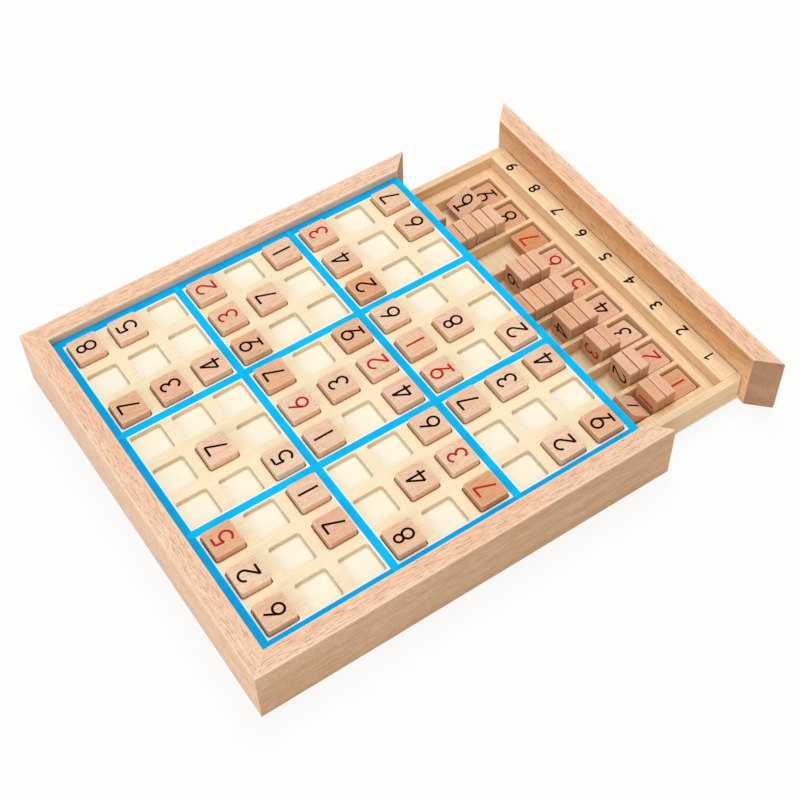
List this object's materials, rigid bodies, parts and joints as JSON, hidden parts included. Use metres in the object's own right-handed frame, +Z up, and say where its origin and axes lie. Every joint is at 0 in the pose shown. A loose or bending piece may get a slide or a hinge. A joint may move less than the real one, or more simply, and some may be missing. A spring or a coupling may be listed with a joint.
{
  "type": "sudoku board",
  "caption": "Square wooden sudoku board: mitred rails round a recessed playing board with shallow tile recesses, loose number tiles, and a drawer with numbered tile compartments.",
  "frame": {"origin": "centre of the box's underside", "axes": "+Z up, +X the way the drawer opens, +Y to the right of a player who sits at the drawer"},
  "size_m": [0.292, 0.225, 0.034],
  "materials": {
    "beech": "sanded, thin clear lacquer",
    "board_cream": "pale lacquered panel",
    "panel_ply": "plain plywood",
    "drawer_wood": "sanded, thin clear lacquer",
    "tile_wood": "sanded, bare"
  },
  "bodies": {
    "box": {"rail_back": "beech", "rail_near": "beech", "rail_far": "beech", "board_base": "board_cream", "board_grid": "board_cream", "bottom_panel": "panel_ply", "drawer_guides": "panel_ply"},
    "drawer": {"drawer_front": "beech", "drawer_side_near": "drawer_wood", "drawer_side_far": "drawer_wood", "drawer_back": "drawer_wood", "drawer_floor": "panel_ply", "number_strip": "drawer_wood", "compartment_tray": "drawer_wood", "stored_tiles_lying": "tile_wood", "stored_tiles_standing": "tile_wood"},
    "tile_r1c1": {"tile_r1c1": "tile_wood"},
    "tile_r1c2": {"tile_r1c2": "tile_wood"},
    "tile_r1c3": {"tile_r1c3": "tile_wood"},
    "tile_r1c7": {"tile_r1c7": "tile_wood"},
    "tile_r1c9": {"tile_r1c9": "tile_wood"},
    "tile_r2c5": {"tile_r2c5": "tile_wood"},
    "tile_r2c7": {"tile_r2c7": "tile_wood"},
    "tile_r2c9": {"tile_r2c9": "tile_wood"},
    "tile_r3c2": {"tile_r3c2": "tile_wood"},
    "tile_r3c3": {"tile_r3c3": "tile_wood"},
    "tile_r3c4": {"tile_r3c4": "tile_wood"},
    "tile_r3c7": {"tile_r3c7": "tile_wood"},
    "tile_r4c1": {"tile_r4c1": "tile_wood"},
    "tile_r4c4": {"tile_r4c4": "tile_wood"},
    "tile_r4c5": {"tile_r4c5": "tile_wood"},
    "tile_r4c6": {"tile_r4c6": "tile_wood"},
    "tile_r4c7": {"tile_r4c7": "tile_wood"},
    "tile_r4c8": {"tile_r4c8": "tile_wood"},
    "tile_r4c9": {"tile_r4c9": "tile_wood"},
    "tile_r5c2": {"tile_r5c2": "tile_wood"},
    "tile_r5c5": {"tile_r5c5": "tile_wood"},
    "tile_r5c8": {"tile_r5c8": "tile_wood"},
    "tile_r6c1": {"tile_r6c1": "tile_wood"},
    "tile_r6c2": {"tile_r6c2": "tile_wood"},
    "tile_r6c3": {"tile_r6c3": "tile_wood"},
    "tile_r6c4": {"tile_r6c4": "tile_wood"},
    "tile_r6c5": {"tile_r6c5": "tile_wood"},
    "tile_r6c6": {"tile_r6c6": "tile_wood"},
    "tile_r6c9": {"tile_r6c9": "tile_wood"},
    "tile_r7c3": {"tile_r7c3": "tile_wood"},
    "tile_r7c4": {"tile_r7c4": "tile_wood"},
    "tile_r7c5": {"tile_r7c5": "tile_wood"},
    "tile_r7c6": {"tile_r7c6": "tile_wood"},
    "tile_r7c7": {"tile_r7c7": "tile_wood"},
    "tile_r7c8": {"tile_r7c8": "tile_wood"},
    "tile_r7c9": {"tile_r7c9": "tile_wood"},
    "tile_r8c1": {"tile_r8c1": "tile_wood"},
    "tile_r8c3": {"tile_r8c3": "tile_wood"},
    "tile_r8c5": {"tile_r8c5": "tile_wood"},
    "tile_r9c1": {"tile_r9c1": "tile_wood"},
    "tile_r9c3": {"tile_r9c3": "tile_wood"},
    "tile_r9c4": {"tile_r9c4": "tile_wood"},
    "tile_r9c8": {"tile_r9c8": "tile_wood"},
    "tile_r9c9": {"tile_r9c9": "tile_wood"}
  },
  "joints": [
    {"name": "drawer_slide", "type": "slide", "parent": "box", "child": "drawer", "axis": [1, 0, 0], "range_m": [-0.0667, 0.04]},
    {"name": "tile_r1c1_lift", "type": "slide", "parent": "box", "child": "tile_r1c1", "axis": [0, 0, 1], "range_m": [0, 0.02]},
    {"name": "tile_r1c2_lift", "type": "slide", "parent": "box", "child": "tile_r1c2", "axis": [0, 0, 1], "range_m": [0, 0.02]},
    {"name": "tile_r1c3_lift", "type": "slide", "parent": "box", "child": "tile_r1c3", "axis": [0, 0, 1], "range_m": [0, 0.02]},
    {"name": "tile_r1c7_lift", "type": "slide", "parent": "box", "child": "tile_r1c7", "axis": [0, 0, 1], "range_m": [0, 0.02]},
    {"name": "tile_r1c9_lift", "type": "slide", "parent": "box", "child": "tile_r1c9", "axis": [0, 0, 1], "range_m": [0, 0.02]},
    {"name": "tile_r2c5_lift", "type": "slide", "parent": "box", "child": "tile_r2c5", "axis": [0, 0, 1], "range_m": [0, 0.02]},
    {"name": "tile_r2c7_lift", "type": "slide", "parent": "box", "child": "tile_r2c7", "axis": [0, 0, 1], "range_m": [0, 0.02]},
    {"name": "tile_r2c9_lift", "type": "slide", "parent": "box", "child": "tile_r2c9", "axis": [0, 0, 1], "range_m": [0, 0.02]},
    {"name": "tile_r3c2_lift", "type": "slide", "parent": "box", "child": "tile_r3c2", "axis": [0, 0, 1], "range_m": [0, 0.02]},
    {"name": "tile_r3c3_lift", "type": "slide", "parent": "box", "child": "tile_r3c3", "axis": [0, 0, 1], "range_m": [0, 0.02]},
    {"name": "tile_r3c4_lift", "type": "slide", "parent": "box", "child": "tile_r3c4", "axis": [0, 0, 1], "range_m": [0, 0.02]},
    {"name": "tile_r3c7_lift", "type": "slide", "parent": "box", "child": "tile_r3c7", "axis": [0, 0, 1], "range_m": [0, 0.02]},
    {"name": "tile_r4c1_lift", "type": "slide", "parent": "box", "child": "tile_r4c1", "axis": [0, 0, 1], "range_m": [0, 0.02]},
    {"name": "tile_r4c4_lift", "type": "slide", "parent": "box", "child": "tile_r4c4", "axis": [0, 0, 1], "range_m": [0, 0.02]},
    {"name": "tile_r4c5_lift", "type": "slide", "parent": "box", "child": "tile_r4c5", "axis": [0, 0, 1], "range_m": [0, 0.02]},
    {"name": "tile_r4c6_lift", "type": "slide", "parent": "box", "child": "tile_r4c6", "axis": [0, 0, 1], "range_m": [0, 0.02]},
    {"name": "tile_r4c7_lift", "type": "slide", "parent": "box", "child": "tile_r4c7", "axis": [0, 0, 1], "range_m": [0, 0.02]},
    {"name": "tile_r4c8_lift", "type": "slide", "parent": "box", "child": "tile_r4c8", "axis": [0, 0, 1], "range_m": [0, 0.02]},
    {"name": "tile_r4c9_lift", "type": "slide", "parent": "box", "child": "tile_r4c9", "axis": [0, 0, 1], "range_m": [0, 0.02]},
    {"name": "tile_r5c2_lift", "type": "slide", "parent": "box", "child": "tile_r5c2", "axis": [0, 0, 1], "range_m": [0, 0.02]},
    {"name": "tile_r5c5_lift", "type": "slide", "parent": "box", "child": "tile_r5c5", "axis": [0, 0, 1], "range_m": [0, 0.02]},
    {"name": "tile_r5c8_lift", "type": "slide", "parent": "box", "child": "tile_r5c8", "axis": [0, 0, 1], "range_m": [0, 0.02]},
    {"name": "tile_r6c1_lift", "type": "slide", "parent": "box", "child": "tile_r6c1", "axis": [0, 0, 1], "range_m": [0, 0.02]},
    {"name": "tile_r6c2_lift", "type": "slide", "parent": "box", "child": "tile_r6c2", "axis": [0, 0, 1], "range_m": [0, 0.02]},
    {"name": "tile_r6c3_lift", "type": "slide", "parent": "box", "child": "tile_r6c3", "axis": [0, 0, 1], "range_m": [0, 0.02]},
    {"name": "tile_r6c4_lift", "type": "slide", "parent": "box", "child": "tile_r6c4", "axis": [0, 0, 1], "range_m": [0, 0.02]},
    {"name": "tile_r6c5_lift", "type": "slide", "parent": "box", "child": "tile_r6c5", "axis": [0, 0, 1], "range_m": [0, 0.02]},
    {"name": "tile_r6c6_lift", "type": "slide", "parent": "box", "child": "tile_r6c6", "axis": [0, 0, 1], "range_m": [0, 0.02]},
    {"name": "tile_r6c9_lift", "type": "slide", "parent": "box", "child": "tile_r6c9", "axis": [0, 0, 1], "range_m": [0, 0.02]},
    {"name": "tile_r7c3_lift", "type": "slide", "parent": "box", "child": "tile_r7c3", "axis": [0, 0, 1], "range_m": [0, 0.02]},
    {"name": "tile_r7c4_lift", "type": "slide", "parent": "box", "child": "tile_r7c4", "axis": [0, 0, 1], "range_m": [0, 0.02]},
    {"name": "tile_r7c5_lift", "type": "slide", "parent": "box", "child": "tile_r7c5", "axis": [0, 0, 1], "range_m": [0, 0.02]},
    {"name": "tile_r7c6_lift", "type": "slide", "parent": "box", "child": "tile_r7c6", "axis": [0, 0, 1], "range_m": [0, 0.02]},
    {"name": "tile_r7c7_lift", "type": "slide", "parent": "box", "child": "tile_r7c7", "axis": [0, 0, 1], "range_m": [0, 0.02]},
    {"name": "tile_r7c8_lift", "type": "slide", "parent": "box", "child": "tile_r7c8", "axis": [0, 0, 1], "range_m": [0, 0.02]},
    {"name": "tile_r7c9_lift", "type": "slide", "parent": "box", "child": "tile_r7c9", "axis": [0, 0, 1], "range_m": [0, 0.02]},
    {"name": "tile_r8c1_lift", "type": "slide", "parent": "box", "child": "tile_r8c1", "axis": [0, 0, 1], "range_m": [0, 0.02]},
    {"name": "tile_r8c3_lift", "type": "slide", "parent": "box", "child": "tile_r8c3", "axis": [0, 0, 1], "range_m": [0, 0.02]},
    {"name": "tile_r8c5_lift", "type": "slide", "parent": "box", "child": "tile_r8c5", "axis": [0, 0, 1], "range_m": [0, 0.02]},
    {"name": "tile_r9c1_lift", "type": "slide", "parent": "box", "child": "tile_r9c1", "axis": [0, 0, 1], "range_m": [0, 0.02]},
    {"name": "tile_r9c3_lift", "type": "slide", "parent": "box", "child": "tile_r9c3", "axis": [0, 0, 1], "range_m": [0, 0.02]},
    {"name": "tile_r9c4_lift", "type": "slide", "parent": "box", "child": "tile_r9c4", "axis": [0, 0, 1], "range_m": [0, 0.02]},
    {"name": "tile_r9c8_lift", "type": "slide", "parent": "box", "child": "tile_r9c8", "axis": [0, 0, 1], "range_m": [0, 0.02]},
    {"name": "tile_r9c9_lift", "type": "slide", "parent": "box", "child": "tile_r9c9", "axis": [0, 0, 1], "range_m": [0, 0.02]}
  ]
}
